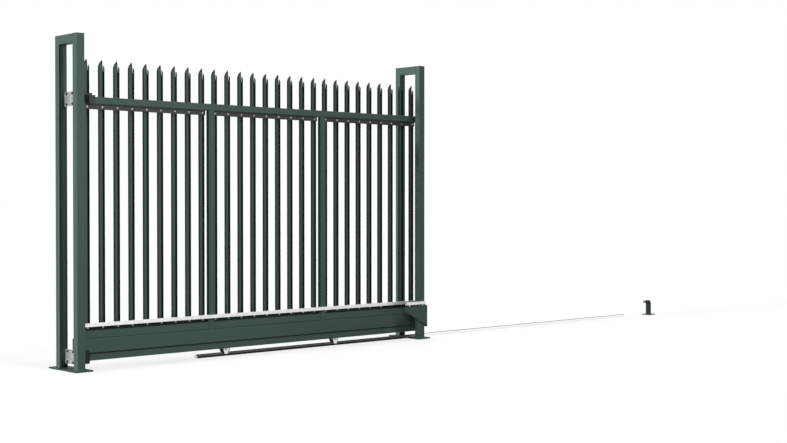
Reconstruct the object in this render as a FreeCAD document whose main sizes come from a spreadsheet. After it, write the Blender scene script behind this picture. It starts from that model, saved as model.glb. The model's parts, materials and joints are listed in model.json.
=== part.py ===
"""Sliding driveway gate: a palisade leaf on two grooved wheels between two portal frames.

Frame: millimetres, +Z up, +X from the catch portal towards the opened leaf, +Y to the outer side.
The origin lies on the underside of the catch portal's base plate, midway between its two posts.
"""
import FreeCAD, Part
import math
import os
import Sketcher

doc = FreeCAD.newDocument("sliding_gate")
sheet = doc.addObject("Spreadsheet::Sheet", "Dims")

# Driving dimensions, one value each, in millimetres or degrees.
DIMENSIONS = {
    # Portal frames
    "portal_height": 2600,
    "portal_gap": 210,
    "portal_spacing": 3638,
    "post_width": 70,
    "post_depth": 60,
    "post_wall": 4,
    "post_corner": 3,
    "bar_height": 70,
    # Base plates
    "plate_thickness": 12,
    "plate_outer": 25,
    "plate_inner": 55,
    "plate_front": 20,
    "plate_back": 70,
    "anchor_hole": 18,
    "anchor_span_x": 90,
    "anchor_span_y": 130,
    # Leaf frame
    "bay_count": 3,
    "pales_per_bay": 9,
    "pale_pitch": 135.3,
    "stile_pitch": 129.7,
    "stile_lead": 57,
    "first_pale": 137.3,
    "stile_width": 60,
    "frame_depth": 40,
    "frame_wall": 3,
    "frame_corner": 4,
    "top_rail_drop": 526,
    "top_rail_height": 54,
    "lower_rail_height": 62,
    "recess_top": 358,
    # Pales
    "pale_width": 50,
    "pale_depth": 20,
    "pale_sheet": 3,
    "pale_fold": 3,
    "pale_tip_drop": 180,
    "pale_lift": 15,
    "slit_depth": 90,
    "slit_width": 6,
    "shoulder_drop": 25,
    "spike_tip": 8,
    "spike_bend": 16,
    "spike_bend_height": 28,
    "wing_drop": 40,
    "wing_slope": 18,
    "wing_tip": 5,
    # Fixing strips
    "strip_sheet": 4,
    "strip_leg": 30,
    "upper_strip_height": 42,
    "strip_end_gap": 10,
    "lower_strip_top": 362,
    "lower_strip_lip": 28,
    "lower_strip_depth": 20,
    "lower_strip_inset": 11,
    # Bottom beam and the wheel channel under it
    "channel_base": 67,
    "channel_height": 58,
    "channel_setback": 11,
    "beam_height": 115,
    "beam_width": 110,
    "beam_wall": 5,
    "beam_corner": 7,
    "tail_length": 71,
    "tail_plate": 8,
    "tail_plate_drop": 25,
    "tail_plate_top": 308,
    # Ground rail and wheels
    "rail_height": 32,
    "rail_skirt": 16,
    "rail_wall": 4,
    "rail_side_gap": 16,
    "rail_start": 1167,
    "rail_end": 6990,
    "wheel_radius": 44,
    "wheel_width": 30,
    "groove_depth": 12,
    "wheel_running_gap": 0.5,
    "wheel_1_place": 1458,
    "wheel_2_place": 2675,
    "axle_radius": 10,
    "axle_running_gap": 0.05,
    "fork_sheet": 5,
    "fork_side_gap": 5,
    "fork_top_width": 100,
    "fork_foot_width": 32,
    "fork_foot_drop": 48,
    # Catches on the catch portal
    "catch_sheet": 6,
    "catch_place": 13,
    "catch_clearance": 5,
    "catch_plate_height": 112,
    "upper_catch_drop": 23,
    "upper_pocket_rise": 20,
    "upper_pocket_height": 68,
    "upper_catch_reach": 134,
    "upper_flare": 42,
    "upper_flare_out": 16,
    "lower_catch_base": 47,
    "lower_pocket_height": 106,
    "lower_catch_reach": 117,
    "lower_flare": 10,
    "lower_flare_out": 4,
    # Guides on the guide portal
    "guide_clearance": 5,
    "guide_height": 42,
    "front_guide_length": 30,
    "rear_guide_length": 300,
    "rear_guide_pad": 20,
    # Bracket on the front of the guide portal
    "bracket_reach": 187,
    "bracket_overlap": 6,
    "bracket_plate": 12,
    "bracket_back": 4,
    "bracket_tip": 40,
    "bracket_tall": 178,
    "clamp_base": 334,
    "clamp_clearance": 20,
    "clamp_height": 26,
    "clamp_depth": 20,
    "clamp_end_gap": 8,
    # End stop
    "stop_place": 7462,
    "stop_plate": 110,
    "stop_plate_thickness": 8,
    "stop_hole": 11,
    "stop_hole_span": 78,
    "stop_post": 44,
    "stop_wall": 4,
    "stop_corner": 4,
    "stop_height": 168,
    "stop_hook_reach": 48,
    "stop_hook_height": 40,
    "stop_nose_base": 14,
    "stop_nose": 12,
    "stop_shoulder": 22,
}

for row, (alias, value) in enumerate(DIMENSIONS.items(), start=1):
    sheet.set("A%d" % row, alias)
    sheet.set("B%d" % row, str(value))
    sheet.setAlias("B%d" % row, alias)

# Lengths that follow from the driving dimensions, as formulas in the same sheet.
DERIVED = {
    "leaf_start": "first_pale - stile_lead - stile_width / 2",
    "bay_length": "pale_pitch * (pales_per_bay - 1) + stile_pitch",
    "leaf_end": "leaf_start + bay_count * bay_length + stile_width",
    "tail_end": "leaf_end + tail_length",
    "leaf_depth": "frame_depth + pale_depth",
    "frame_front": "-beam_width / 2",
    "frame_back": "frame_front + frame_depth",
    "leaf_back": "frame_back + pale_depth",
    "post_inner": "portal_gap / 2",
    "post_outer": "post_inner + post_depth",
    "post_length": "portal_height - plate_thickness",
    "beam_base": "channel_base + channel_height",
    "beam_top": "beam_base + beam_height",
    "top_rail_base": "portal_height - top_rail_drop",
    "stile_height": "top_rail_base - beam_top",
    "recess_height": "recess_top - beam_top",
    "upper_catch_base": "top_rail_base - upper_catch_drop",
    "pale_base": "beam_top + pale_lift",
    "pale_length": "portal_height - pale_tip_drop - pale_base",
    "pale_half": "pale_width / 2",
    "pale_inside": "pale_half - pale_sheet",
    "web_front": "pale_depth - pale_sheet",
    "fold_inside": "pale_fold + pale_sheet * (sqrt(2) - 2)",
    "head_base": "pale_length - slit_depth",
    "wing_top": "pale_length - wing_drop",
    "wing_eave": "wing_top - wing_slope",
    "shoulder": "pale_length - shoulder_drop",
    "spike_base": "pale_length - spike_bend_height",
    "rail_half": "rail_height - rail_skirt",
    "rail_slope_wall": "rail_wall * sqrt(2)",
    "axle_height": "rail_height + wheel_running_gap + wheel_radius - groove_depth",
    "channel_roof": "beam_base - beam_wall",
    "channel_half": "beam_width / 2 - channel_setback",
    "channel_inside": "channel_half - beam_wall",
    "axle_drop": "channel_roof - axle_height",
    "fork_inner": "wheel_width + 2 * fork_side_gap",
    "fork_outer": "fork_inner + 2 * fork_sheet",
    "guide_plate_gap": "rail_half + rail_side_gap",
    "guide_base": "top_rail_base + top_rail_height / 2 - guide_height / 2",
    "rear_guide_front": "leaf_back + guide_clearance",
    "rear_guide_back": "rear_guide_front + rear_guide_pad",
    "bracket_top": "clamp_base - clamp_clearance",
    "bracket_base": "bracket_top - bracket_tall",
    "bracket_left": "portal_spacing - post_width / 2 - bracket_reach",
    "bracket_right": "portal_spacing + post_width / 2 + bracket_overlap",
}
for row, (alias, formula) in enumerate(DERIVED.items(), start=len(DIMENSIONS) + 1):
    sheet.set("A%d" % row, alias)
    sheet.set("B%d" % row, "=" + formula)
    sheet.setAlias("B%d" % row, alias)
doc.recompute()

ALIASES = sorted(list(DIMENSIONS) + list(DERIVED), key=len, reverse=True)
sub_parts = []


def bound(formula):
    """A formula of aliases, written out with the sheet's name before each alias."""
    words = []
    word = ""
    for letter in str(formula) + " ":
        if letter.isalnum() or letter == "_" or letter == ".":
            word += letter
            continue
        words.append("Dims." + word if word in ALIASES else word)
        words.append(letter)
        word = ""
    return "".join(words).strip()


def place(part, x="0", y="0", z="0"):
    """Bind the part's place to the sheet."""
    part.setExpression("Placement.Base.x", bound(x))
    part.setExpression("Placement.Base.y", bound(y))
    part.setExpression("Placement.Base.z", bound(z))


def named(kind, label):
    """A new object of the document with the label that also names its file."""
    part = doc.addObject(kind, label)
    part.Label = label
    return part


def plate(label, length, width, height, x, y, z):
    """A flat plate or block."""
    part = named("Part::Box", label)
    part.setExpression("Length", bound(length))
    part.setExpression("Width", bound(width))
    part.setExpression("Height", bound(height))
    place(part, x, y, z)
    sub_parts.append(part)
    return part


def origin_plane(body, role):
    """One of the body's own origin planes."""
    return [feature for feature in body.Origin.OriginFeatures if feature.Role == role][0]


def outline(body, name, role, *loops):
    """A sketch of closed loops, every corner tied to the sheet by its two coordinates."""
    sketch = body.newObject("Sketcher::SketchObject", body.Label + "_" + name)
    sketch.AttachmentSupport = [(origin_plane(body, role), "")]
    sketch.MapMode = "FlatFace"
    for loop_number, corners in enumerate(loops):
        count = len(corners)
        first = sketch.GeometryCount
        start_radius = 10.0 * (loop_number + 1)
        start = [FreeCAD.Vector(start_radius * math.cos(2 * math.pi * i / count),
                                start_radius * math.sin(2 * math.pi * i / count), 0)
                 for i in range(count)]
        for i in range(count):
            sketch.addGeometry(Part.LineSegment(start[i], start[(i + 1) % count]), False)
        for i in range(count):
            sketch.addConstraint(Sketcher.Constraint(
                "Coincident", first + i, 2, first + (i + 1) % count, 1))
        for i, (across, up) in enumerate(corners):
            for direction, formula in (("DistanceX", across), ("DistanceY", up)):
                number = sketch.addConstraint(Sketcher.Constraint(
                    direction, -1, 1, first + i, 1, 1.0))
                sketch.setExpression("Constraints[%d]" % number, bound(formula))
    return sketch


def rectangle(width, height, left="0", low="0"):
    """The corners of a rectangle, from its lower left corner."""
    right = "%s + %s" % (left, width)
    top = "%s + %s" % (low, height)
    return [(left, low), (right, low), (right, top), (left, top)]


def padded(body, name, role, length, *loops, midplane=False):
    """A pad on the body, along the normal of an origin plane or to both sides of it."""
    sketch = outline(body, name, role, *loops)
    pad = body.newObject("PartDesign::Pad", body.Label + "_" + name + "_pad")
    pad.Profile = sketch
    pad.Midplane = midplane
    pad.setExpression("Length", bound(length))
    body.Tip = pad


def extruded(label, role, length, *loops):
    """A body padded from one sketch, along the normal of an origin plane."""
    body = named("PartDesign::Body", label)
    padded(body, "section", role, length, *loops)
    sub_parts.append(body)
    return body


def round_long_edges(body, radius, along):
    """Round the outer edges of a hollow section that run along one axis."""
    doc.recompute()
    base = body.Tip
    box = base.Shape.BoundBox
    across = [axis for axis in "XYZ" if axis != along]
    edges = []
    for number, edge in enumerate(base.Shape.Edges, start=1):
        bounds = edge.BoundBox
        lengths = {axis: getattr(bounds, axis + "Length") for axis in "XYZ"}
        if lengths[along] < 1 or any(lengths[axis] > 1e-6 for axis in across):
            continue
        outside = all(
            min(abs(getattr(bounds, axis + "Min") - getattr(box, axis + "Min")),
                abs(getattr(bounds, axis + "Max") - getattr(box, axis + "Max"))) < 1e-6
            for axis in across)
        if outside:
            edges.append("Edge%d" % number)
    fillet = body.newObject("PartDesign::Fillet", body.Label + "_corners")
    fillet.Base = (base, edges)
    fillet.setExpression("Radius", bound(radius))
    body.Tip = fillet


def tube(label, role, along, width, height, wall, corner, length):
    """A hollow section with rounded corners, centred across and starting at its own zero."""
    inner = "%s - 2 * %s" % (width, wall), "%s - 2 * %s" % (height, wall)
    body = extruded(
        label, role, length,
        rectangle("(%s)" % width, "(%s)" % height, "-(%s) / 2" % width, "-(%s) / 2" % height),
        rectangle("(%s)" % inner[0], "(%s)" % inner[1],
                  "-(%s) / 2" % inner[0], "-(%s) / 2" % inner[1]))
    round_long_edges(body, corner, along)
    return body


def cut_through(body, name, role, *loops):
    """A pocket right through the body, both ways from an origin plane."""
    sketch = outline(body, name, role, *loops)
    pocket = body.newObject("PartDesign::Pocket", body.Label + "_" + name + "_cut")
    pocket.Profile = sketch
    pocket.Type = "ThroughAll"
    pocket.Midplane = True
    body.Tip = pocket
    return pocket


def drilled(body, name, role, diameter, *centres):
    """Round holes right through the body."""
    sketch = body.newObject("Sketcher::SketchObject", body.Label + "_" + name)
    sketch.AttachmentSupport = [(origin_plane(body, role), "")]
    sketch.MapMode = "FlatFace"
    for across, up in centres:
        circle = sketch.addGeometry(
            Part.Circle(FreeCAD.Vector(0, 0, 0), FreeCAD.Vector(0, 0, 1), 1.0), False)
        for kind, formula in (("DistanceX", across), ("DistanceY", up)):
            number = sketch.addConstraint(Sketcher.Constraint(kind, -1, 1, circle, 3, 1.0))
            sketch.setExpression("Constraints[%d]" % number, bound(formula))
        number = sketch.addConstraint(Sketcher.Constraint("Diameter", circle, 1.0))
        sketch.setExpression("Constraints[%d]" % number, bound(diameter))
    pocket = body.newObject("PartDesign::Pocket", body.Label + "_" + name + "_cut")
    pocket.Profile = sketch
    pocket.Type = "ThroughAll"
    pocket.Midplane = True
    body.Tip = pocket


# Portal frames: two hollow posts with closed tops and a bar between them, over the leaf's path.
def portal(name, centre):
    for side, middle in (("front", "-(post_inner + post_depth / 2)"),
                         ("rear", "post_inner + post_depth / 2")):
        post = extruded("%s_%s_post" % (name, side), "XY_Plane", "post_length",
                        rectangle("post_width", "post_depth", "-post_width / 2", "-post_depth / 2"))
        round_long_edges(post, "post_corner", "Z")
        sketch = outline(post, "hollow", "XY_Plane",
                         rectangle("(post_width - 2 * post_wall)", "(post_depth - 2 * post_wall)",
                                   "-post_width / 2 + post_wall", "-post_depth / 2 + post_wall"))
        hollow = post.newObject("PartDesign::Pocket", post.Label + "_hollow_cut")
        hollow.Profile = sketch
        hollow.Reversed = True
        hollow.setExpression("Length", bound("post_length - post_wall"))
        post.Tip = hollow
        place(post, centre, middle, "plate_thickness")
    bar = tube("%s_top_bar" % name, "XZ_Plane", "Y", "post_width", "bar_height",
               "post_wall", "post_corner", "portal_gap")
    place(bar, centre, "post_inner", "portal_height - bar_height / 2")


portal("catch", "0")
portal("guide", "portal_spacing")

# Base plates with anchor holes. The guide portal has one under each post, with the rail between.
plate_width = "post_width + plate_outer + plate_inner"
plate_left = "-post_width / 2 - plate_outer"
anchor_left = "(plate_inner - plate_outer) / 2 - anchor_span_x / 2"
anchor_right = "(plate_inner - plate_outer) / 2 + anchor_span_x / 2"

base = extruded("catch_base_plate", "XY_Plane", "plate_thickness",
                rectangle("(%s)" % plate_width, "(2 * post_outer + plate_front + plate_back)",
                          plate_left, "-post_outer - plate_front"))
drilled(base, "anchors", "XY_Plane", "anchor_hole",
        *[(x, y) for x in (anchor_left, anchor_right)
          for y in ("-anchor_span_y / 2", "anchor_span_y / 2")])
place(base)

for side, low, depth, anchor in (
        ("front", "-post_outer - plate_front", "post_outer + plate_front - guide_plate_gap",
         "-anchor_span_y / 2"),
        ("rear", "guide_plate_gap", "post_outer + plate_back - guide_plate_gap",
         "anchor_span_y / 2")):
    base = extruded("guide_%s_plate" % side, "XY_Plane", "plate_thickness",
                    rectangle("(%s)" % plate_width, "(%s)" % depth, plate_left, low))
    drilled(base, "anchors", "XY_Plane", "anchor_hole",
            (anchor_left, anchor), (anchor_right, anchor))
    place(base, "portal_spacing")


# Catches: each a plate across the catch posts and a folded pocket that takes the closed leaf's end.
def catch(name, base_height, half_depth, middle, pocket_rise, pocket_height, reach, flare, flare_out):
    plate(name + "_catch_plate", "catch_sheet", "portal_gap", "catch_plate_height",
          "catch_place", "-post_inner", base_height)
    start = "catch_place + catch_sheet"
    inner = "%s + catch_clearance" % half_depth
    outer = inner + " + catch_sheet"
    tip = "%s + %s" % (reach, flare)
    upper_half = [
        (start + " + catch_sheet", inner),
        (reach, inner),
        (tip, "%s + %s" % (inner, flare_out)),
        (tip, "%s + %s" % (outer, flare_out)),
        (reach, outer),
        (start, outer),
    ]
    lower_half = [(across, "-(%s)" % up) for across, up in reversed(upper_half)]
    pocket = extruded(name + "_catch", "XY_Plane", pocket_height, upper_half + lower_half)
    place(pocket, "0", middle, "%s + %s" % (base_height, pocket_rise))


catch("upper", "upper_catch_base", "leaf_depth / 2", "frame_front + leaf_depth / 2",
      "upper_pocket_rise", "upper_pocket_height", "upper_catch_reach", "upper_flare",
      "upper_flare_out")
catch("lower", "lower_catch_base", "beam_width / 2", "0",
      "0", "lower_pocket_height", "lower_catch_reach", "lower_flare", "lower_flare_out")

# Guides that keep the leaf upright inside the guide portal: a block before it, a T piece behind it.
plate("front_guide_block", "front_guide_length", "post_inner + frame_front - guide_clearance",
      "guide_height", "portal_spacing + post_width / 2 - front_guide_length", "-post_inner",
      "guide_base")
rear_guide = extruded("rear_guide", "XY_Plane", "guide_height", [
    ("-rear_guide_length / 2", "rear_guide_front"),
    ("rear_guide_length / 2", "rear_guide_front"),
    ("rear_guide_length / 2", "rear_guide_back"),
    ("post_width / 2", "rear_guide_back"),
    ("post_width / 2", "post_inner"),
    ("-post_width / 2", "post_inner"),
    ("-post_width / 2", "rear_guide_back"),
    ("-rear_guide_length / 2", "rear_guide_back"),
])
place(rear_guide, "portal_spacing", "0", "guide_base")

# Bracket across the front of the guide portal: a tapered gusset with a thinner plate above it, which
# carries a bolted clamp bar.
gusset = extruded("bracket_gusset", "XZ_Plane", "bracket_plate", [
    ("0", "bracket_tall - bracket_tip"),
    ("bracket_right - bracket_left", "0"),
    ("bracket_right - bracket_left", "bracket_tall"),
    ("0", "bracket_tall"),
])
padded(gusset, "clamp_seat", "XZ_Plane", "bracket_back",
       rectangle("bracket_right - bracket_left", "clamp_base + clamp_height - bracket_top",
                 "0", "bracket_tall"))
place(gusset, "bracket_left", "-post_outer", "bracket_base")
plate("bracket_clamp_bar", "bracket_right - bracket_left - clamp_end_gap", "clamp_depth",
      "clamp_height", "bracket_left", "-post_outer - bracket_back - clamp_depth", "clamp_base")

# Ground rail: a roof-shaped section on short skirts, which the grooved wheels straddle.
skirt_inside = "rail_skirt + rail_wall - rail_slope_wall"
rail = extruded("ground_rail", "YZ_Plane", "rail_end - rail_start", [
    ("-rail_half", "0"),
    ("-rail_half + rail_wall", "0"),
    ("-rail_half + rail_wall", skirt_inside),
    ("0", "rail_height - rail_slope_wall"),
    ("rail_half - rail_wall", skirt_inside),
    ("rail_half - rail_wall", "0"),
    ("rail_half", "0"),
    ("rail_half", "rail_skirt"),
    ("0", "rail_height"),
    ("-rail_half", "rail_skirt"),
])
place(rail, "rail_start")

# End stop: a short post with a nose that the leaf's tail meets.
stop_base = extruded("stop_base_plate", "XY_Plane", "stop_plate_thickness",
                     rectangle("stop_plate", "stop_plate", "-stop_plate / 2", "-stop_plate / 2"))
drilled(stop_base, "anchors", "XY_Plane", "stop_hole",
        *[(x, y) for x in ("-stop_hole_span / 2", "stop_hole_span / 2")
          for y in ("-stop_hole_span / 2", "stop_hole_span / 2")])
place(stop_base, "stop_place")
stop_post = tube("stop_post", "XY_Plane", "Z", "stop_post", "stop_post", "stop_wall", "stop_corner",
                 "stop_height - stop_hook_height - stop_plate_thickness")
place(stop_post, "stop_place", "0", "stop_plate_thickness")
hook = extruded("stop_hook", "XZ_Plane", "stop_post", [
    ("-stop_post / 2 - stop_hook_reach", "stop_nose_base"),
    ("-stop_post / 2", "stop_nose_base"),
    ("-stop_post / 2", "0"),
    ("stop_post / 2", "0"),
    ("stop_post / 2 - stop_shoulder", "stop_hook_height"),
    ("-stop_post / 2", "stop_hook_height"),
    ("-stop_post / 2 - stop_hook_reach", "stop_nose_base + stop_nose"),
])
place(hook, "stop_place", "stop_post / 2", "stop_height - stop_hook_height")

# Leaf frame: stiles, top rail and lower rails, with the pales behind them. A lower rail is a hollow section
# with a leg above it, set back as a recess, in which the pales are bolted on.
frame_middle = "frame_front + frame_depth / 2"
bays = range(DIMENSIONS["bay_count"])
for number in range(len(bays) + 1):
    stile = tube("stile_%d" % (number + 1), "XY_Plane", "Z", "stile_width", "frame_depth",
                 "frame_wall", "frame_corner", "stile_height")
    place(stile, "leaf_start + stile_width / 2 + %d * bay_length" % number, frame_middle, "beam_top")

top_rail = tube("top_rail", "YZ_Plane", "X", "frame_depth", "top_rail_height", "frame_wall",
                "frame_corner", "leaf_end - leaf_start")
place(top_rail, "leaf_start", frame_middle, "top_rail_base + top_rail_height / 2")

for number in bays:
    bay_start = "leaf_start + stile_width + %d * bay_length" % number
    bay_filling = "bay_length - stile_width - strip_end_gap"
    rail = extruded("lower_rail_%d" % (number + 1), "YZ_Plane", bay_filling, [
                        ("-frame_depth + frame_corner", "0"),
                        ("0", "0"),
                        ("0", "recess_height"),
                        ("-frame_depth", "recess_height"),
                        ("-frame_depth", "recess_height - strip_sheet"),
                        ("-strip_sheet", "recess_height - strip_sheet"),
                        ("-strip_sheet", "lower_rail_height"),
                        ("-frame_depth + frame_corner", "lower_rail_height"),
                        ("-frame_depth", "lower_rail_height - frame_corner"),
                        ("-frame_depth", "frame_corner"),
                    ], rectangle("(frame_depth - 2 * frame_wall)", "(lower_rail_height - 2 * frame_wall)",
                                 "-frame_depth + frame_wall", "frame_wall"))
    place(rail, bay_start, "frame_back", "beam_top")

    strip = extruded("upper_strip_%d" % (number + 1), "YZ_Plane", bay_filling, [
                         ("-strip_sheet", "0"),
                         ("0", "0"),
                         ("0", "upper_strip_height"),
                         ("-strip_leg", "upper_strip_height"),
                         ("-strip_leg", "upper_strip_height - strip_sheet"),
                         ("-strip_sheet", "upper_strip_height - strip_sheet"),
                     ])
    place(strip, bay_start, "frame_back", "top_rail_base - upper_strip_height")

lower_strip = extruded("lower_strip", "YZ_Plane", "leaf_end - leaf_start - lower_strip_inset", [
    ("-strip_sheet", "0"),
    ("0", "0"),
    ("0", "lower_strip_lip"),
    ("-lower_strip_depth", "lower_strip_lip"),
    ("-lower_strip_depth", "0"),
    ("-lower_strip_depth + strip_sheet", "0"),
    ("-lower_strip_depth + strip_sheet", "lower_strip_lip - strip_sheet"),
    ("-strip_sheet", "lower_strip_lip - strip_sheet"),
])
place(lower_strip, "leaf_start + lower_strip_inset", "frame_front", "lower_strip_top - lower_strip_lip")


# Pales: a folded channel, its wings to the front and its web behind them. The head is slit at both
# folds, so that it ends in three blunt points: one on each wing and a spike on the web, bent to the front.
def mirrored(right_half):
    """A closed outline from the corners of its right half, given in order."""
    return right_half + [("-(%s)" % across, up) for across, up in reversed(right_half)]


for number in bays:
    pales = extruded("pales_%d" % (number + 1), "XY_Plane", "head_base", mirrored([
        ("pale_inside - fold_inside", "web_front"),
        ("pale_inside", "web_front - fold_inside"),
        ("pale_inside", "0"),
        ("pale_half", "0"),
        ("pale_half", "pale_depth - pale_fold"),
        ("pale_half - pale_fold", "pale_depth"),
    ]))
    padded(pales, "wing_points", "YZ_Plane", "pale_width", [
        ("0", "head_base"),
        ("pale_depth - pale_fold", "head_base"),
        ("pale_depth - pale_fold", "wing_top"),
        ("pale_depth - pale_fold - wing_tip", "wing_top"),
        ("0", "wing_eave"),
    ], midplane=True)
    cut_through(pales, "between_wings", "XZ_Plane",
                rectangle("2 * pale_inside", "slit_depth", "-pale_inside", "head_base"))
    padded(pales, "spike", "YZ_Plane", "2 * pale_inside", [
        ("web_front", "head_base"),
        ("pale_depth", "head_base"),
        ("pale_depth", "spike_base"),
        ("pale_depth - spike_bend", "pale_length"),
        ("web_front - spike_bend", "pale_length"),
        ("web_front", "spike_base"),
    ], midplane=True)
    spike_right = [
        ("pale_inside", "pale_length + slit_depth"),
        ("pale_inside", "head_base"),
        ("pale_inside - slit_width", "shoulder"),
        ("spike_tip / 2", "pale_length"),
    ]
    cut_through(pales, "slits", "XZ_Plane", mirrored(spike_right))
    doc.recompute()
    row = pales.newObject("PartDesign::LinearPattern", pales.Label + "_row")
    row.Originals = [feature for feature in pales.Group
                     if feature.TypeId in ("PartDesign::Pad", "PartDesign::Pocket")]
    row.Direction = (origin_plane(pales, "X_Axis"), [""])
    row.setExpression("Length", bound("pale_pitch * (pales_per_bay - 1)"))
    row.setExpression("Occurrences", bound("pales_per_bay"))
    pales.Tip = row
    place(pales, "first_pale + %d * bay_length" % number, "frame_back", "pale_base")

# Bottom beam, the wheel channel under it and the plate that closes the tail.
beam = tube("bottom_beam", "YZ_Plane", "X", "beam_width", "beam_height", "beam_wall", "beam_corner",
            "tail_end - tail_plate - leaf_start")
place(beam, "leaf_start", "0", "beam_base + beam_height / 2")

channel = extruded("wheel_channel", "YZ_Plane", "leaf_end - leaf_start", mirrored([
    ("channel_inside", "channel_height - beam_wall"),
    ("channel_inside", "0"),
    ("channel_half", "0"),
    ("channel_half", "channel_height"),
]))
place(channel, "leaf_start", "0", "channel_base")

plate("tail_plate", "tail_plate", "beam_width", "tail_plate_top - beam_base + tail_plate_drop",
      "tail_end - tail_plate", "-beam_width / 2", "beam_base - tail_plate_drop")


# Wheels: each turns on an axle held by a fork under the channel's roof.
def wheel_set(number):
    centre = "wheel_%d_place" % number
    fork = extruded("wheel_fork_%d" % number, "XZ_Plane", "fork_outer", mirrored([
        ("fork_foot_width / 2", "-axle_drop - fork_foot_drop"),
        ("fork_top_width / 2", "0"),
    ]))
    cut_through(fork, "mouth", "YZ_Plane",
                rectangle("fork_inner", "channel_roof", "-fork_outer + fork_sheet",
                          "-channel_roof - fork_sheet"))
    drilled(fork, "axle_hole", "XZ_Plane", "2 * (axle_radius + axle_running_gap)",
            ("0", "-axle_drop"))
    place(fork, centre, "fork_outer / 2", "channel_roof")

    axle = named("Part::Cylinder", "wheel_axle_%d" % number)
    axle.setExpression("Radius", bound("axle_radius"))
    axle.setExpression("Height", bound("fork_outer"))
    axle.Placement.Rotation = FreeCAD.Rotation(FreeCAD.Vector(1, 0, 0), 90)
    place(axle, centre, "fork_outer / 2", "axle_height")
    sub_parts.append(axle)

    wheel = named("PartDesign::Body", "wheel_%d" % number)
    section = outline(wheel, "section", "XZ_Plane", [
        ("axle_radius + axle_running_gap", "-wheel_width / 2"),
        ("wheel_radius", "-wheel_width / 2"),
        ("wheel_radius", "-groove_depth"),
        ("wheel_radius - groove_depth", "0"),
        ("wheel_radius", "groove_depth"),
        ("wheel_radius", "wheel_width / 2"),
        ("axle_radius + axle_running_gap", "wheel_width / 2"),
    ])
    turned = wheel.newObject("PartDesign::Revolution", wheel.Label + "_turned")
    turned.Profile = section
    turned.ReferenceAxis = (section, ["V_Axis"])
    turned.Angle = 360
    wheel.Placement.Rotation = FreeCAD.Rotation(FreeCAD.Vector(1, 0, 0), 90)
    place(wheel, centre, "0", "axle_height")
    sub_parts.append(wheel)


wheel_set(1)
wheel_set(2)

doc.recompute()
for item in doc.Objects:
    if "Invalid" in item.State or "Error" in item.State:
        raise RuntimeError("%s failed: %s" % (item.Label, item.State))
for part in sub_parts:
    if part.Shape.isNull() or not part.Shape.isValid():
        raise RuntimeError("%s has no valid shape" % part.Label)

os.makedirs("parts", exist_ok=True)
for part in sub_parts:
    part.Shape.exportStep("parts/%s.step" % part.Label)
    print("%-22s %2d solids %10.1f cm3" % (part.Label, len(part.Shape.Solids), part.Shape.Volume / 1000))
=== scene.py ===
# %% [markdown]
# # Dressing a sliding palisade gate
# The CAD model holds the steelwork: two portals, a leaf of folded pales on a heavy beam, wheels, a rail and
# an end stop. This lesson adds what a fitter and a paint shop would add. It starts by loading that model as
# a fixed frame, so that every new piece is placed from the boxes of the pieces that carry it.

# %% Load the steelwork
import json
import math

import bpy
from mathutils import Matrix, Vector


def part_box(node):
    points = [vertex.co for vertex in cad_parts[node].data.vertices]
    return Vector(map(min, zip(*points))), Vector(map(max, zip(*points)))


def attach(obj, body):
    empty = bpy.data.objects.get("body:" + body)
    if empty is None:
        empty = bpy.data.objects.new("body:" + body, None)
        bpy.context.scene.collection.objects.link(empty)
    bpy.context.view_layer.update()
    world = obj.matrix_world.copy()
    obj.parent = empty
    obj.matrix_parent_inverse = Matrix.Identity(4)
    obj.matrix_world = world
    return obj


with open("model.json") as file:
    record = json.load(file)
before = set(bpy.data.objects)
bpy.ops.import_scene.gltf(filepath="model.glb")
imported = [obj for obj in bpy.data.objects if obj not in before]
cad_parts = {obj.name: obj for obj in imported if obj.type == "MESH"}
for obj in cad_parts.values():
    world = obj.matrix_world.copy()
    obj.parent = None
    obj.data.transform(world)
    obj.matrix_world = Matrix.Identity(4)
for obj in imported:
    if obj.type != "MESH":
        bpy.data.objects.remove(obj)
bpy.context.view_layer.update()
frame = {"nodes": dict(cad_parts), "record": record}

# %% [markdown]
# ## The camera
# A product picture of a long gate is taken from far off with a long lens, a little above waist height, so
# that posts stay upright. The lens is worked out from a focal length in pixels, because that is what a
# camera match gives: pixels over image width is the same ratio as millimetres over sensor width.

# %% Camera
IMAGE_WIDTH = 787
FOCAL_PIXELS = 1321.33
SENSOR_WIDTH = 36.0
FARTHEST_SEEN = 500.0
CAMERA_AT = (-5.1401, -9.1964, 1.3081)
CAMERA_PITCH = -0.8535
CAMERA_YAW = -42.953

camera_data = bpy.data.cameras.new("gate_camera")
camera_data.sensor_fit = "HORIZONTAL"
camera_data.sensor_width = SENSOR_WIDTH
camera_data.lens = SENSOR_WIDTH * FOCAL_PIXELS / IMAGE_WIDTH
camera_data.clip_end = FARTHEST_SEEN
camera = bpy.data.objects.new("gate_camera", camera_data)
camera.location = CAMERA_AT
camera.rotation_euler = (math.radians(90 + CAMERA_PITCH), 0.0, math.radians(CAMERA_YAW))
bpy.context.scene.collection.objects.link(camera)
bpy.context.scene.camera = camera
bpy.context.scene.view_settings.view_transform = "Standard"
print("lens %.2f mm" % camera_data.lens)

# %% [markdown]
# ## Shader sums
# A finish is mostly small sums: a bit more grey here, a bit rougher there. Written as nodes they are long,
# so one class wraps a socket. Adding or multiplying two wraps adds a Math node, and `node` adds any other.


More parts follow.
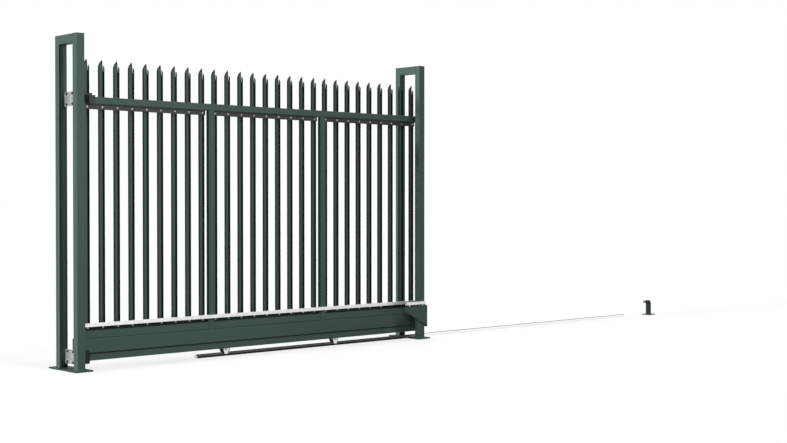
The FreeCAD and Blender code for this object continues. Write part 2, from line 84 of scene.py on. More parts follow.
# %% A socket that can be reckoned with
class Wire:
    """A socket of one material. Sums on it add Math nodes, and node() adds any other kind."""

    def __init__(self, tree, socket=None):
        self.tree = tree
        self.socket = socket

    def node(self, kind, settings=None, inputs=None, output=0):
        made = self.tree.nodes.new("ShaderNode" + kind)
        for name, value in (settings or {}).items():
            setattr(made, name, value)
        for name, value in (inputs or {}).items():
            if isinstance(value, Wire):
                self.tree.links.new(value.socket, made.inputs[name])
            else:
                made.inputs[name].default_value = value
        return Wire(self.tree, made.outputs[output])

    def sum_of(self, operation, first, second, clamp=False):
        return self.node("Math", {"operation": operation, "use_clamp": clamp}, {0: first, 1: second})

    def __add__(self, other):
        return self.sum_of("ADD", self, other)

    def __radd__(self, other):
        return self.sum_of("ADD", other, self)

    def __sub__(self, other):
        return self.sum_of("SUBTRACT", self, other)

    def __rsub__(self, other):
        return self.sum_of("SUBTRACT", other, self)

    def __mul__(self, other):
        return self.sum_of("MULTIPLY", self, other)

    def __rmul__(self, other):
        return self.sum_of("MULTIPLY", other, self)

    def clamped(self):
        return self.sum_of("ADD", self, 0.0, clamp=True)

    def between(self, first, second):
        """A colour that goes from the first to the second as this value goes from 0 to 1."""
        return self.node("Mix", {"data_type": "RGBA"}, {0: self, 6: first, 7: second}, output=2)


def new_finish(name):
    """An empty finish: its material, its surface shader and the wire of its Object coordinates."""
    material = bpy.data.materials.new(name)
    material.use_nodes = True
    surface = material.node_tree.nodes["Principled BSDF"]
    wire = Wire(material.node_tree)
    return material, surface, wire.node("TexCoord", output=3)


def feed(surface, **sockets):
    """Link wires to the surface shader, or set plain values on it."""
    for name, value in sockets.items():
        slot = surface.inputs[name.replace("_", " ")]
        if isinstance(value, Wire):
            value.tree.links.new(value.socket, slot)
        else:
            slot.default_value = value


def looked_at(wire):
    """1 where the lens or a mirror looks straight at a surface, and 0 for its light on others."""
    seen = [wire.node("LightPath", output=name)
            for name in ("Is Camera Ray", "Is Glossy Ray", "Is Transmission Ray")]
    return (seen[0] + seen[1] + seen[2]).clamped()


# %% [markdown]
# ## Floor and backdrop
# The gate stands on a white sweep. The floor is a plain pale surface that keeps the soft shadow, and what
# the lens sees of it is lifted to white. The lift lights nothing, so that it can't wash out the dark sides
# of the pales.

# %% Floor and backdrop
FLOOR_SIZE = 400.0
FLOOR_GREY = 0.25
FLOOR_LIFT = 0.665
FLOOR_DULLNESS = 0.9
ROOM_LIGHT = 0.03

bpy.ops.object.select_all(action="DESELECT")
bpy.ops.mesh.primitive_plane_add(size=FLOOR_SIZE)
floor = bpy.context.object
floor.name = "floor"
floor_paint, floor_surface, place = new_finish("white_sweep")
feed(floor_surface, Base_Color=(FLOOR_GREY, FLOOR_GREY, FLOOR_GREY, 1),
     Roughness=FLOOR_DULLNESS, Specular_IOR_Level=0.0,
     Emission_Color=looked_at(place).between((0, 0, 0, 1), (FLOOR_LIFT, FLOOR_LIFT, FLOOR_LIFT, 1)),
     Emission_Strength=1.0)
floor.data.materials.append(floor_paint)

world = bpy.data.worlds.new("white_room")
world.use_nodes = True
bpy.context.scene.world = world
background = world.node_tree.nodes["Background"]
background.inputs["Color"].default_value = (1, 1, 1, 1)
strength = ROOM_LIGHT + (1 - ROOM_LIGHT) * looked_at(Wire(world.node_tree))
world.node_tree.links.new(strength.socket, background.inputs["Strength"])
print("floor %.0f m, room light %.2f" % (FLOOR_SIZE, ROOM_LIGHT))

# %% [markdown]
# ## Lamps
# Three far, soft lamps make the picture. One stands in line with the leaf and brightens the sides of the
# posts, while each pale shades the next one. One stands high before the gate, so that a rail or a lip
# throws a shadow below it. A broad one overhead, a little behind, gives the floor its soft shadow. A small
# fill lamp before the catch portal makes that end the brightest, so that the eye starts there.

# %% Lamps
FAR_LAMPS = {
    "side_lamp": {"direction": (-1.0, 0.026, 0.10), "strength": 4.6, "softness": 3.0},
    "front_lamp": {"direction": (0.17, -0.98, 1.42), "strength": 1.6, "softness": 20.0},
    "overhead_lamp": {"direction": (0.20, 0.37, 1.0), "strength": 2.6, "softness": 50.0},
}
LAMP_DISTANCE = 10
FILL_AT = (0.8, -4.0, 2.6)
FILL_AIM = (0.2, 0.0, 1.3)
FILL_SIZE = (0.8, 1.6)
FILL_WATTS = 102.0


def far_lamp(name, direction, strength, softness):
    """A lamp far off in a direction, with its width in degrees as seen from the gate."""
    lamp = bpy.data.lights.new(name, "SUN")
    lamp.energy = strength
    lamp.angle = math.radians(softness)
    holder = bpy.data.objects.new(name, lamp)
    holder.rotation_euler = Vector(direction).to_track_quat("Z", "Y").to_euler()
    holder.location = Vector(direction) * LAMP_DISTANCE
    bpy.context.scene.collection.objects.link(holder)


for name, lamp in FAR_LAMPS.items():
    far_lamp(name, **lamp)

fill = bpy.data.lights.new("fill_lamp", "AREA")
fill.shape = "RECTANGLE"
fill.size, fill.size_y = FILL_SIZE
fill.energy = FILL_WATTS
fill_holder = bpy.data.objects.new("fill_lamp", fill)
fill_holder.location = FILL_AT
fill_holder.rotation_euler = (Vector(FILL_AT) - Vector(FILL_AIM)).to_track_quat("Z", "Y").to_euler()
bpy.context.scene.collection.objects.link(fill_holder)

# %% [markdown]
# ## Green powder coat
# Powder is baked into a satin skin with a faint orange-peel ripple. The green shifts a little from batch to
# batch and greys near the ground. A flat colour would look like plastic, so colour, roughness and bump each
# get their own noise at the size the real thing has. Shade is painted into some coats: the sides of each
# pale get a painted shade that grows with the distance from the pale's middle, and a dark painted shade line
# runs along the seam between the beam and the channel under it. The lower catch and the stop get a near
# black green as painted shade, and the base plates and the stop post a darker green as painted shade.

# %% Green powder coat
GREEN = (0.046, 0.076, 0.064, 1)
GREEN_PALE = (0.056, 0.088, 0.076, 1)
# Painted shade: a near black green for the lower catch and the stop's hook and base plate.
DEEP_SHADE_GREEN = (0.010, 0.017, 0.014, 1)
DEEP_SHADE_GREEN_PALE = (0.018, 0.028, 0.024, 1)
# Painted shade: a darker green for the base plates and the stop post.
FOOT_SHADE_GREEN = (0.024, 0.041, 0.034, 1)
FOOT_SHADE_GREEN_PALE = (0.032, 0.051, 0.043, 1)
DUST = (0.16, 0.16, 0.15, 1)
DUST_TOP = 0.10
DUST_FADE = 6.0
DUST_COVER = 0.25
# Painted shade: the green that the pale sides and the seam line turn towards, and how far.
PAINTED_SHADE = (0.007, 0.013, 0.011, 1)
SHADE_COVER = 0.85
SHADE_RAGGED = 0.002
PALE_WIDTH = 0.050
PALES_PER_BAY = 9
# Painted shade on the pales: none within this distance of a pale's middle, fading in past it.
PALE_LIT_HALF = 0.0125
PALE_SHADE_FADE = 350.0
# Painted shade along the seam between the beam and the channel: its half width and its fade.
SEAM_SHADE_HALF = 0.006
SEAM_SHADE_FADE = 300.0
SATIN = 0.46


def powder_coat(name, dark, light, pale_row=None, seam=None):
    """A satin coat between two greens, with painted shade on the sides of a row of pales (first middle,
    step) or along a seam.
    """
    material, surface, place = new_finish(name)
    cloud = place.node("TexNoise", None, {"Vector": place, "Scale": 2.2, "Detail": 3.0, "Roughness": 0.6})
    mottle = place.node("TexNoise", None, {"Vector": place, "Scale": 55.0, "Detail": 2.0, "Roughness": 0.5})
    peel = place.node("TexNoise", None, {"Vector": place, "Scale": 620.0, "Detail": 1.0, "Roughness": 0.4})
    height = place.node("SeparateXYZ", None, {"Vector": place}, output=2)
    dusty = ((DUST_TOP - height) * DUST_FADE).clamped() * cloud
    coat_colour = (cloud * 0.7 + mottle * 0.3).between(dark, light)
    # Painted shade on the sides and folds of each pale, growing with the distance from its middle.
    if pale_row:
        along = place.node("SeparateXYZ", None, {"Vector": place}, output=0)
        turn = (along - pale_row[0]) * (1 / pale_row[1]) + 0.5
        aside = place.sum_of("FRACT", turn, 0.0) - 0.5
        off_middle = place.sum_of("ABSOLUTE", aside, 0.0) * pale_row[1]
        shade_mask = ((off_middle - PALE_LIT_HALF + mottle * SHADE_RAGGED) * PALE_SHADE_FADE).clamped()
        coat_colour = (shade_mask * SHADE_COVER).between(coat_colour, PAINTED_SHADE)
    # Painted shade: a dark line along the seam height.
    if seam:
        off_seam = place.sum_of("ABSOLUTE", height - seam, 0.0)
        shade_mask = ((SEAM_SHADE_HALF - off_seam + mottle * SHADE_RAGGED) * SEAM_SHADE_FADE).clamped()
        coat_colour = (shade_mask * SHADE_COVER).between(coat_colour, PAINTED_SHADE)
    ripple = place.node("Bump", None, {"Strength": 0.10, "Distance": 0.0004, "Height": peel + mottle * 0.6})
    feed(surface, Base_Color=(dusty * DUST_COVER).between(coat_colour, DUST),
         Roughness=SATIN + mottle * 0.14 + dusty * 0.2, Specular_IOR_Level=0.08, Normal=ripple)
    return material


green_coat = powder_coat("green_powder_coat", GREEN, GREEN_PALE)
deep_shade_coat = powder_coat("deep_shade_green_coat", DEEP_SHADE_GREEN, DEEP_SHADE_GREEN_PALE)
foot_shade_coat = powder_coat("foot_shade_coat", FOOT_SHADE_GREEN, FOOT_SHADE_GREEN_PALE)
# The beam and its channel get the coat with the painted shade line at the top of the channel.
beam_shaded_coat = powder_coat("beam_shaded_coat", GREEN, GREEN_PALE, seam=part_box("wheel_channel")[1][2])
# Each bay of pales gets its own coat with painted shade on the pale sides.
shaded_pale_coats = {}
for bay in (1, 2, 3):
    low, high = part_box("pales_%d" % bay)
    step = (high[0] - low[0] - PALE_WIDTH) / (PALES_PER_BAY - 1)
    shaded_pale_coats["pales_%d" % bay] = powder_coat("pale_shaded_coat_%d" % bay, GREEN, GREEN_PALE,
                                               (low[0] + PALE_WIDTH / 2, step))
print("coats:", green_coat.name, deep_shade_coat.name, foot_shade_coat.name, beam_shaded_coat.name)
print("coats for the pales:", len(shaded_pale_coats))

# %% [markdown]
# ## Hot-dip galvanising
# Zinc freezes on steel in flat crystals called spangle, each a slightly different grey and gloss. Voronoi
# cells have that look: one random grey per cell, with a second larger set so the pattern does not repeat.
# The same recipe is used twice: a duller grey for most zinc, and a lighter copy as painted highlight for
# the lower strip's lip, the wheel forks, the clamp bar and the rail's closing plate.

# %% Galvanised steel
DULL_GREYS = (0.24, 0.24, 0.24, 1), (0.44, 0.44, 0.44, 1)
# Painted highlight: a lighter copy of the zinc for parts that catch more light.
LIT_GREYS = (0.60, 0.60, 0.60, 1), (0.78, 0.78, 0.78, 1)
DULL_SKIN = 0.42
LIT_SKIN = 0.34


def zinc_finish(name, dark, light, dullness):
    """Zinc with spangle between two greys."""
    material, surface, place = new_finish(name)
    small = place.node("TexVoronoi", None, {"Vector": place, "Scale": 110.0}, output=1)
    large = place.node("TexVoronoi", None, {"Vector": place, "Scale": 38.0}, output=1)
    grain = place.node("TexNoise", None, {"Vector": place, "Scale": 240.0, "Detail": 2.0})
    small_grey = place.node("SeparateColor", None, {"Color": small})
    large_grey = place.node("SeparateColor", None, {"Color": large})
    spangle = small_grey * 0.45 + large_grey * 0.35 + grain * 0.2
    skin = place.node("Bump", None, {"Strength": 0.12, "Distance": 0.0003, "Height": grain})
    feed(surface, Base_Color=spangle.between(dark, light), Metallic=0.85,
         Roughness=dullness + spangle * 0.2, Normal=skin)
    return material


dull_zinc = zinc_finish("dull_zinc", *DULL_GREYS, DULL_SKIN)
lit_zinc = zinc_finish("lit_zinc", *LIT_GREYS, LIT_SKIN)
print("finishes:", dull_zinc.name, lit_zinc.name)

# %% [markdown]
# ## Dark steel, plated bolts and nylon
# The fixing angles are left in dark mill-finished steel with a cloudy grey. The upper pocket carries a
# painted
# shadow of the post: it is near black up to a set distance from the post and a lighter grey past it. Bolts
# are plated, so they are smoother and brighter. Guide blocks are sawn from nylon sheet, which is dull.

# %% Dark steel
dark_steel, surface, place = new_finish("dark_steel")
scale_cloud = place.node("TexNoise", None,
                         {"Vector": place, "Scale": 26.0, "Detail": 4.0, "Roughness": 0.6})
pitting = place.node("TexNoise", None, {"Vector": place, "Scale": 340.0, "Detail": 2.0})
rolled = place.node("Bump", None, {"Strength": 0.15, "Distance": 0.0003, "Height": pitting})
feed(surface, Base_Color=scale_cloud.between((0.024, 0.025, 0.025, 1), (0.063, 0.065, 0.064, 1)),
     Roughness=0.46 + pitting * 0.2, Specular_IOR_Level=0.25, Normal=rolled)
print("finish:", dark_steel.name)

# %% Pocket steel
# Painted shadow of the post: near black up to this distance from the post, lighter grey past it.
POST_SHADOW_EDGE = 0.134
POST_SHADOW = (0.006, 0.008, 0.007, 1)
SHADOW_EDGE_FADE = 250.0

pocket_steel, surface, place = new_finish("pocket_steel")
pocket_noise = place.node("TexNoise", None, {"Vector": place, "Scale": 40.0, "Detail": 4.0, "Roughness": 0.6})
reach = place.node("SeparateXYZ", None, {"Vector": place}, output=0)
# Painted shadow mask: 0 in the post's shadow, 1 past its edge.
past_shadow = ((reach - POST_SHADOW_EDGE + pocket_noise * 0.004) * SHADOW_EDGE_FADE).clamped()
burrs = place.node("Bump", None, {"Strength": 0.15, "Distance": 0.0003, "Height": pocket_noise})
lit_pocket_colour = pocket_noise.between((0.034, 0.036, 0.035, 1), (0.082, 0.086, 0.084, 1))
feed(surface, Base_Color=past_shadow.between(POST_SHADOW, lit_pocket_colour),
     Roughness=0.5 + pocket_noise * 0.15, Specular_IOR_Level=0.04, Normal=burrs)
print("finish:", pocket_steel.name)

# %% Bright plating
plating, surface, place = new_finish("bright_plating")
smear = place.node("TexNoise", None, {"Vector": place, "Scale": 180.0, "Detail": 3.0})
tool_marks = place.node("Bump", None, {"Strength": 0.08, "Distance": 0.0002, "Height": smear})
feed(surface, Base_Color=smear.between((0.34, 0.34, 0.33, 1), (0.52, 0.52, 0.51, 1)), Metallic=0.9,
     Roughness=0.22 + smear * 0.18, Normal=tool_marks)
print("finish:", plating.name)

# %% Black nylon
nylon, surface, place = new_finish("black_nylon")
haze = place.node("TexNoise", None, {"Vector": place, "Scale": 90.0, "Detail": 3.0})
sawn = place.node("TexNoise", None, {"Vector": place, "Scale": 420.0, "Detail": 1.0})
grip = place.node("Bump", None, {"Strength": 0.2, "Distance": 0.0003, "Height": sawn})
feed(surface, Base_Color=haze.between((0.012, 0.012, 0.013, 1), (0.028, 0.028, 0.029, 1)),
     Roughness=0.48 + haze * 0.16, Specular_IOR_Level=0.3, Normal=grip)
print("finish:", nylon.name)

# %% [markdown]
# ## A rail with painted shade under the leaf
# Under the leaf the rail gets painted shade: its skirts are near black and its ridge a darker steel grey,
# for the shade of the leaf and its dark reflection. The open part is zinc bright enough to mirror the white
# floor, with a thin grey line of painted shade along its crest. A little noise breaks the lines.

# %% Rail with painted shade
RAIL_SKIRT_TOP = 0.0165
RAIL_CREST_LINE = 0.027
RAIL_OPEN_PART = 3.62
RAIL_RIDGE_FADE = 320.0
RAIL_CREST_FADE = 600.0
RAIL_OPEN_FADE = 4.0
# Painted shade: near black skirts under the leaf, and a grey line along the open crest.
RAIL_SHADE = (0.006, 0.006, 0.006, 1)
RAIL_CREST_SHADE = (0.12, 0.12, 0.12, 1)

shaded_rail, surface, place = new_finish("shaded_rail")
edge_noise = place.node("TexNoise", None, {"Vector": place, "Scale": 60.0, "Detail": 3.0})
streak = place.node("TexNoise", None, {"Vector": place, "Scale": 420.0, "Detail": 2.0})
height = place.node("SeparateXYZ", None, {"Vector": place}, output=2)
along = place.node("SeparateXYZ", None, {"Vector": place}, output=0)
# Masks of painted shade: the lit ridge above the skirts, the crest line, and the open part past the leaf.
lit_ridge = ((height - RAIL_SKIRT_TOP + edge_noise * 0.002) * RAIL_RIDGE_FADE).clamped()
crest_shade = ((height - RAIL_CREST_LINE + edge_noise * 0.001) * RAIL_CREST_FADE).clamped()
past_leaf = ((along - RAIL_OPEN_PART + edge_noise * 0.2) * RAIL_OPEN_FADE).clamped()
shaded_ridge_steel = streak.between((0.15, 0.15, 0.15, 1), (0.25, 0.25, 0.25, 1))
open_zinc = streak.between((0.84, 0.84, 0.84, 1), (0.94, 0.94, 0.93, 1))
shaded_colour = lit_ridge.between(RAIL_SHADE, shaded_ridge_steel)
open_colour = crest_shade.between(open_zinc, RAIL_CREST_SHADE)
scuffs = place.node("Bump", None, {"Strength": 0.12, "Distance": 0.0003, "Height": streak})
feed(surface, Base_Color=past_leaf.between(shaded_colour, open_colour),
     Metallic=past_leaf * 0.95 + lit_ridge * (1 - past_leaf) * 0.6,
     Roughness=(0.62 - lit_ridge * 0.2) * (1 - past_leaf) + past_leaf * 0.25,
     Specular_IOR_Level=0.12, Normal=scuffs)
print("finish:", shaded_rail.name)

# %% [markdown]
# ## Every piece gets its finish
# The frame gives each CAD piece the slot of its material, and each slot has a usual finish. Pieces that
# differ from the rest of their slot are named one by one.

# %% Finishes on the CAD pieces
SLOT_FINISHES = {"green_paint": green_coat, "galvanised_steel": dull_zinc, "dark_steel": dark_steel,
                 "black_nylon": nylon}
# Pieces with painted light get their own finish: painted shade on the lower catch, the stop, the base
# plates, the pales, the beam and the rail under the leaf, and a painted highlight on the lit zinc.
NODE_FINISHES = {
    "upper_catch": pocket_steel, "lower_catch": deep_shade_coat,
    "catch_base_plate": foot_shade_coat, "guide_front_plate": foot_shade_coat, "guide_rear_plate": foot_shade_coat,
    "bracket_clamp_bar": lit_zinc, "lower_strip": lit_zinc, "ground_rail": shaded_rail,
    "wheel_fork_1": lit_zinc, "wheel_fork_2": lit_zinc, "wheel_1": dark_steel, "wheel_2": dark_steel,
    "stop_hook": deep_shade_coat, "stop_base_plate": deep_shade_coat, "stop_post": foot_shade_coat,
    "bottom_beam": beam_shaded_coat, "wheel_channel": beam_shaded_coat, **shaded_pale_coats,
}
for name, piece in frame["nodes"].items():
    for slot in piece.material_slots:
        slot_name = slot.material.name.split(".")[0]
        slot.material = NODE_FINISHES.get(name, SLOT_FINISHES[slot_name])
print("finishes on", len(frame["nodes"]), "nodes")

# %% [markdown]
# ## A small workshop
# Every fitting below is made the way a modeller does it by hand: start from a primitive, work its edges in
# edit mode, turn it, put it in place, and repeat it along a row. A few short functions keep those steps in
# one place. Each row ends as one mesh, because nobody picks up a single bolt of a gate.

# %% Workshop
SMOOTH_ANGLE = math.radians(35)
SQUARELY = 0.9


def only(piece):
    """Make one object the selected and active one."""
    bpy.ops.object.select_all(action="DESELECT")
    piece.select_set(True)
    bpy.context.view_layer.objects.active = piece


def round_bar(radius, low, high, sides):
    """An upright bar between two heights."""
    bpy.ops.object.select_all(action="DESELECT")
    bpy.ops.mesh.primitive_cylinder_add(vertices=sides, radius=radius, depth=high - low,
                                        location=(0, 0, (low + high) / 2))
    return bpy.context.object


def break_edges(piece, width, segments=1):
    """Bevel all edges."""
    only(piece)
    bpy.ops.object.mode_set(mode="EDIT")
    bpy.ops.mesh.select_all(action="SELECT")
    bpy.ops.mesh.bevel(offset=width, segments=segments, affect="EDGES")
    bpy.ops.object.mode_set(mode="OBJECT")
    return piece


def pick_faces(piece, axis, facing):
    """Go into edit mode with only those faces picked that look along an axis."""
    only(piece)
    bpy.ops.object.mode_set(mode="EDIT")
    bpy.ops.mesh.select_mode(type="FACE")
    bpy.ops.mesh.select_all(action="DESELECT")
    bpy.ops.object.mode_set(mode="OBJECT")
    for face in piece.data.polygons:
        face.select = face.normal["XYZ".index(axis)] * facing > SQUARELY
    bpy.ops.object.mode_set(mode="EDIT")


def block(size, at=(0, 0, 0)):
    """A box of a size, about a point."""
    bpy.ops.object.select_all(action="DESELECT")
    bpy.ops.mesh.primitive_cube_add(size=1)
    piece = bpy.context.object
    piece.scale = size
    return settle(piece, at)


def joined(pieces):
    """Several objects as one."""
    only(pieces[0])
    for piece in pieces:
        piece.select_set(True)
    bpy.ops.object.join()
    bpy.ops.object.transform_apply(location=True, rotation=True, scale=True)
    return bpy.context.object


def settle(piece, at, turn=(0, 0, 0)):
    """Turn and move a piece, and keep that in its mesh."""
    piece.rotation_euler = turn
    piece.location = at
    only(piece)
    bpy.ops.object.transform_apply(location=True, rotation=True, scale=True)
    return piece


def repeat(piece, step, count):
    """Copy a piece along a line, as one mesh."""
    only(piece)
    bpy.ops.object.modifier_add(type="ARRAY")
    array = piece.modifiers[-1]
    array.use_relative_offset = False
    array.use_constant_offset = True
    array.constant_offset_displace = step
    array.count = count
    bpy.ops.object.modifier_apply(modifier=array.name)
    return piece


def finished(piece, name, finish, body):
    """Name a piece, give it its finish and let it move with its body."""
    only(piece)
    bpy.ops.object.transform_apply(location=True, rotation=True, scale=True)
    bpy.ops.object.shade_smooth_by_angle(angle=SMOOTH_ANGLE)
    piece.name = name
    piece.data.materials.clear()
    piece.data.materials.append(finish)
    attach(piece, body)
    print("%-20s %6d faces on %s" % (name, len(piece.data.polygons), body))


TO_FRONT = (math.radians(90), 0, 0)
TO_LEFT = (0, math.radians(-90), 0)
TO_BACK = (math.radians(-90), 0, 0)
TURNED = (0, 0, math.radians(180))
print("workshop ready")

# %% [markdown]
# ## Bolts
# A bolt is a hex head on a washer, a shank, and a nut on another washer. Heads are forged and nuts are
# turned, so all their edges are broken with a small bevel, which is what catches the light from far off.
# The pattern is built upright with the head on top, and the size sets all of it, as in a fastener table.

# %% Bolt pattern
WASHER_RADIUS = 1.08
WASHER_THICK = 0.22
HEX_RADIUS = 0.96
HEAD_TALL = 0.66
NUT_TALL = 0.82
SHANK_RADIUS = 0.50
THREAD_END = 0.40
ROUND_BREAK = 0.06
HEX_BREAK = 0.10


def bolt(size, grip):
    """A bolt that clamps a thickness: its head sits on height 0 and its nut under that thickness."""
    washer, head, nut = WASHER_THICK * size, HEAD_TALL * size, NUT_TALL * size
    low = -grip - washer - nut
    return joined([
        break_edges(round_bar(WASHER_RADIUS * size, 0, washer, 24), ROUND_BREAK * size),
        break_edges(round_bar(HEX_RADIUS * size, washer, washer + head, 6), HEX_BREAK * size),
        break_edges(round_bar(SHANK_RADIUS * size, low - THREAD_END * size, washer, 12), ROUND_BREAK * size),
        break_edges(round_bar(WASHER_RADIUS * size, -grip - washer, -grip, 24), ROUND_BREAK * size),
        break_edges(round_bar(HEX_RADIUS * size, low, low + nut, 6), HEX_BREAK * size),
    ])


print("bolt pattern ready")

# %% [markdown]
# ## Pale bolts
# Each pale is held by two bolts: one through the fixing angle under the top rail, and one through the leg of
# the lower rail, in the recess just under the bright lip. The pales of a bay are evenly spaced, so one bolt
# is repeated along it.

# %% Pale bolts
PALE_BOLT = 0.008
UPPER_BOLT_RISE = 0.020
LOWER_BOLT_DROP = 0.036
STRIP_SHEET = 0.004

upper_rows, lower_rows = [], []
for bay in (1, 2, 3):
    low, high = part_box("pales_%d" % bay)
    first, last = low[0] + PALE_WIDTH / 2, high[0] - PALE_WIDTH / 2
    step = ((last - first) / (PALES_PER_BAY - 1), 0, 0)
    strip_low, strip_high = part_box("upper_strip_%d" % bay)
    strip_front = strip_high[1] - STRIP_SHEET
    row = settle(bolt(PALE_BOLT, high[1] - strip_front),
                 (first, strip_front, strip_low[2] + UPPER_BOLT_RISE), TO_FRONT)
    upper_rows.append(repeat(row, step, PALES_PER_BAY))
    rail_low, rail_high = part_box("lower_rail_%d" % bay)
    leg_front = rail_high[1] - STRIP_SHEET
    row = settle(bolt(PALE_BOLT, high[1] - leg_front),
                 (first, leg_front, rail_high[2] - LOWER_BOLT_DROP), TO_FRONT)
    lower_rows.append(repeat(row, step, PALES_PER_BAY))
finished(joined(upper_rows), "upper_pale_bolts", plating, "leaf")
finished(joined(lower_rows), "lower_pale_bolts", plating, "leaf")

# %% [markdown]
# ## Packers at the rail ends
# The lower rails are cut a little short, so that they drop in between the stiles. The gap by the next stile
# is closed with a packer: a bar as deep as the rail and as tall as its leg, with its edges broken for the
# weld.

# %% Packers at the rail ends
PACKER_BREAK = 0.0012
PACKER_SET = 0.004

packers = []
for number in (1, 2, 3):
    low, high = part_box("lower_rail_%d" % number)
    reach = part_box("stile_%d" % (number + 1))[0][0]
    packer = block((reach - high[0], high[1] - low[1] - PACKER_SET, high[2] - low[2]))
    break_edges(packer, PACKER_BREAK, 2)
    packers.append(settle(packer, ((high[0] + reach) / 2, (low[1] + high[1] + PACKER_SET) / 2,
                                   (low[2] + high[2]) / 2)))
finished(joined(packers), "rail_packers", green_coat, "leaf")

# %% [markdown]
# ## Bolts of the fixed steelwork
# The catch plates show four bolts each, seen between the posts. The seat under the clamp bar on the guide
# portal has two.

# %% Catch plate bolts
CATCH_BOLT = 0.010
CATCH_BOLT_PLACES = (-0.020, 0.070)
CATCH_BOLT_EDGE = 0.015

for name in ("upper", "lower"):
    low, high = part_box(name + "_catch_plate")
    corners = [settle(bolt(CATCH_BOLT, high[0] - low[0]), (low[0], across, up), TO_LEFT)
               for across in CATCH_BOLT_PLACES
               for up in (low[2] + CATCH_BOLT_EDGE, high[2] - CATCH_BOLT_EDGE)]
    finished(joined(corners), name + "_catch_bolts", dark_steel, "ground_frame")

# %% Clamp bolts
CLAMP_BOLT = 0.008
CLAMP_BOLT_PLACES = (0.054, 0.224)
CLAMP_BOLT_DROP = 0.010
CLAMP_SEAT = 0.004
POST_WALL = 0.004

bar_low, bar_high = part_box("bracket_clamp_bar")
seat_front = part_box("guide_front_post")[0][1] - CLAMP_SEAT
bolt_height = bar_low[2] - CLAMP_BOLT_DROP
clamp_bolts = [settle(bolt(CLAMP_BOLT, grip), (bar_low[0] + along, seat_front, bolt_height), TO_FRONT)
               for along, grip in zip(CLAMP_BOLT_PLACES, (CLAMP_SEAT, CLAMP_SEAT + POST_WALL))]
finished(joined(clamp_bolts), "clamp_bolts", plating, "ground_frame")

# %% [markdown]
# ## A flap over the upper pocket
# The leaf's end has to find the pocket even when it rocks, so a bent flap is welded on the pocket's upper
# edge. A bar is extruded to a second, leaning half, as if it were folded in a press.

# %% Pocket flap
FLAP_LENGTH = 0.055
FLAP_SHEET = 0.004
FLAP_FOLD = (0, -0.012, 0.011)
FLAP_INSET = 0.020
FLAP_SIDE = 0.019

pocket_low, pocket_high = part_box("upper_catch")
flap = block((FLAP_LENGTH, FLAP_SHEET, FLAP_SHEET))
pick_faces(flap, "Z", 1)
bpy.ops.mesh.extrude_region_move(TRANSFORM_OT_translate={"value": FLAP_FOLD})
bpy.ops.object.mode_set(mode="OBJECT")
break_edges(flap, FLAP_SHEET / 8)
settle(flap, (pocket_high[0] - FLAP_LENGTH / 2 - FLAP_INSET, pocket_low[1] + FLAP_SIDE,
              pocket_high[2] + FLAP_SHEET / 2))
finished(flap, "pocket_flap", dark_steel, "ground_frame")

# %% [markdown]
# ## Anchors
# Base plates are held down by anchors that the installer drills into the foundation. Their heads lie level
# with the plate, so that nobody trips on them. The places and the hole come from the frame's own record of
# the mounts, and a hair's breadth is left round each screw.

# %% Anchors in the base plates
ANCHOR_PLAY = 0.0004
KEY_RIM = 0.45
KEY_DEPTH = 0.6
ANCHOR_BREAK = 0.03


def anchor(radius, top):
    """An anchor screw that fills its hole up to the plate's top, with a recess for the key."""
    screw = round_bar(radius, 0, top, 24)
    pick_faces(screw, "Z", 1)
    bpy.ops.mesh.inset(thickness=KEY_RIM * radius)
    bpy.ops.mesh.extrude_region_move(TRANSFORM_OT_translate={"value": (0, 0, -KEY_DEPTH * radius)})
    bpy.ops.object.mode_set(mode="OBJECT")
    return break_edges(screw, ANCHOR_BREAK * radius)


mounts = {mount["name"]: mount for mount in frame["record"]["mounts"]}
for name, plate in (("catch_anchors", "catch_base_plate"), ("guide_anchors", "guide_front_plate"),
                    ("stop_anchors", "stop_base_plate")):
    middle, sizes = mounts[name]["pos_m"], mounts[name]["dims"]
    half_x, half_y = sizes["spacing_x_mm"] / 2000, sizes["spacing_y_mm"] / 2000
    radius = sizes["hole_r_mm"] / 1000 - ANCHOR_PLAY
    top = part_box(plate)[1][2] - ANCHOR_PLAY
    pattern = [settle(anchor(radius, top), (middle[0] + x, middle[1] + y, top / 2))
               for x in (-half_x, half_x) for y in (-half_y, half_y)]
    finished(joined(pattern), name, dark_steel, "ground_frame")

# %% [markdown]
# ## Axle nuts
# A wheel turns on a plain axle that is threaded at both ends and held in the fork by a nut on each side. The
# nut is a six-sided bar with its edges broken, on a washer, and a short end of thread stands out of it.

# %% Axle nuts
AXLE_NUT = 0.014
AXLE_WASHER = 0.15
AXLE_NUT_TALL = 0.45
AXLE_END = 0.15
AXLE_END_RADIUS = 0.55
AXLE_WASHER_BREAK = 0.05
AXLE_NUT_BREAK = 0.08


def axle_nut(size):
    """A washer, a thin nut and a thread end, upright from height 0."""
    washer, nut, end = AXLE_WASHER * size, AXLE_NUT_TALL * size, AXLE_END * size
    return joined([
        break_edges(round_bar(WASHER_RADIUS * size, 0, washer, 24), AXLE_WASHER_BREAK * size),
        break_edges(round_bar(HEX_RADIUS * size, washer, washer + nut, 6), AXLE_NUT_BREAK * size),
        break_edges(round_bar(AXLE_END_RADIUS * size, 0, washer + nut + end, 16), ROUND_BREAK * size),
    ])


for number in (1, 2):
    low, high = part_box("wheel_axle_%d" % number)
    along, up = (low[0] + high[0]) / 2, (low[2] + high[2]) / 2
    pair = [settle(axle_nut(AXLE_NUT), (along, low[1], up), TO_FRONT),
            settle(axle_nut(AXLE_NUT), (along, high[1], up), TO_BACK)]
    finished(joined(pair), "axle_nuts_%d" % number, plating, "leaf")

# %% [markdown]
# ## End caps
# A hollow section that stays open fills with water, so its ends get pushed-in caps. A cap starts as a flat
# box. Its outer face is inset and pressed in a little, which leaves the rim that shows, and a plug on its
# other side fits the hollow.

# %% End caps
CAP_THICK = 0.003
CAP_PLUG = 0.018
CAP_RIM = 0.006


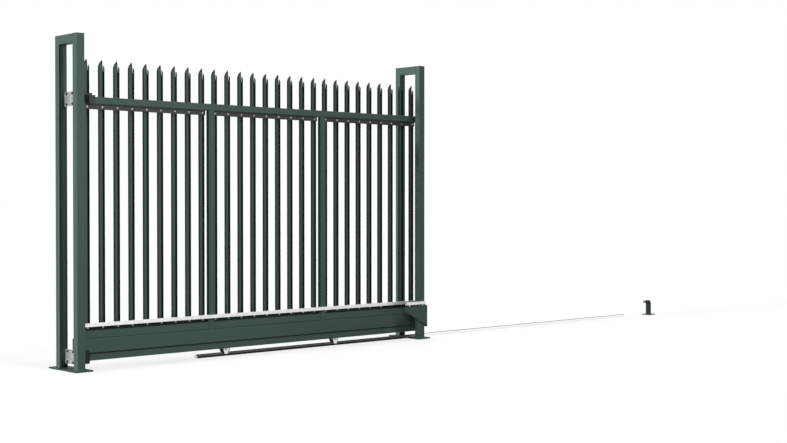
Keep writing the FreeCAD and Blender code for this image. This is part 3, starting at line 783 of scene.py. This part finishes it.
def end_cap(deep, tall, wall):
    """A cap in the YZ plane that faces -X, its rim before 0 and its plug behind 0."""
    cap = block((CAP_THICK, deep, tall), (-CAP_THICK / 2, 0, 0))
    for facing, rim, press in ((-1, CAP_RIM, CAP_THICK / 3), (1, wall, CAP_PLUG)):
        pick_faces(cap, "X", facing)
        bpy.ops.mesh.inset(thickness=rim)
        bpy.ops.mesh.extrude_region_move(TRANSFORM_OT_translate={"value": (press, 0, 0)})
        bpy.ops.object.mode_set(mode="OBJECT")
    return break_edges(cap, CAP_THICK / 6)


TOP_RAIL_WALL = 0.004
BEAM_WALL = 0.006
caps = []
low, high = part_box("top_rail")
middle = [(a + b) / 2 for a, b in zip(low, high)]
deep, tall = high[1] - low[1], high[2] - low[2]
caps.append(settle(end_cap(deep, tall, TOP_RAIL_WALL), (low[0], middle[1], middle[2])))
caps.append(settle(end_cap(deep, tall, TOP_RAIL_WALL), (high[0], middle[1], middle[2]), TURNED))
low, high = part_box("bottom_beam")
middle = [(a + b) / 2 for a, b in zip(low, high)]
caps.append(settle(end_cap(high[1] - low[1], high[2] - low[2], BEAM_WALL), (low[0], middle[1], middle[2])))
finished(joined(caps), "end_caps", nylon, "leaf")

# %% [markdown]
# ## A closing plate on the rail
# The rail's open end would collect grit and cut a foot, so a plate is welded over it. It starts as a bar as
# tall as the rail's skirts. The top face is then extruded up to the ridge and drawn in to a narrow crest.

# %% Rail closing plate
RAIL_PLATE = 0.004
RAIL_CREST = 0.12

low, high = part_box("ground_rail")
closing = block((RAIL_PLATE, high[1] - low[1], RAIL_SKIRT_TOP))
pick_faces(closing, "Z", 1)
bpy.ops.mesh.extrude_region_move(TRANSFORM_OT_translate={"value": (0, 0, high[2] - RAIL_SKIRT_TOP)})
bpy.ops.transform.resize(value=(1, RAIL_CREST, 1))
bpy.ops.object.mode_set(mode="OBJECT")
break_edges(closing, RAIL_PLATE / 8)
settle(closing, (low[0] - RAIL_PLATE / 2, (low[1] + high[1]) / 2, RAIL_SKIRT_TOP / 2))
finished(closing, "rail_closing_plate", lit_zinc, "ground_frame")

# %% [markdown]
# ## Welds at the feet
# Posts are welded to their base plates all round. A fillet weld has a three-sided section, so each one is a
# flat box whose top is drawn in to the post, with its edges broken. It is painted with the post.

# %% Welds at the feet
WELD = 0.006
WELD_BREAK = 0.0012


def foot_weld(post):
    """A weld round the foot of a post."""
    low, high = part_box(post)
    wide, deep = high[0] - low[0], high[1] - low[1]
    weld = block((wide + 2 * WELD, deep + 2 * WELD, WELD))
    pick_faces(weld, "Z", 1)
    bpy.ops.transform.resize(value=(wide / (wide + 2 * WELD), deep / (deep + 2 * WELD), 1))
    bpy.ops.object.mode_set(mode="OBJECT")
    break_edges(weld, WELD_BREAK, 2)
    return settle(weld, ((low[0] + high[0]) / 2, (low[1] + high[1]) / 2, low[2] + WELD / 2))


welds = [foot_weld(post) for post in ("catch_front_post", "catch_rear_post", "guide_front_post",
                                      "guide_rear_post", "stop_post")]
finished(joined(welds), "foot_welds", green_coat, "ground_frame")
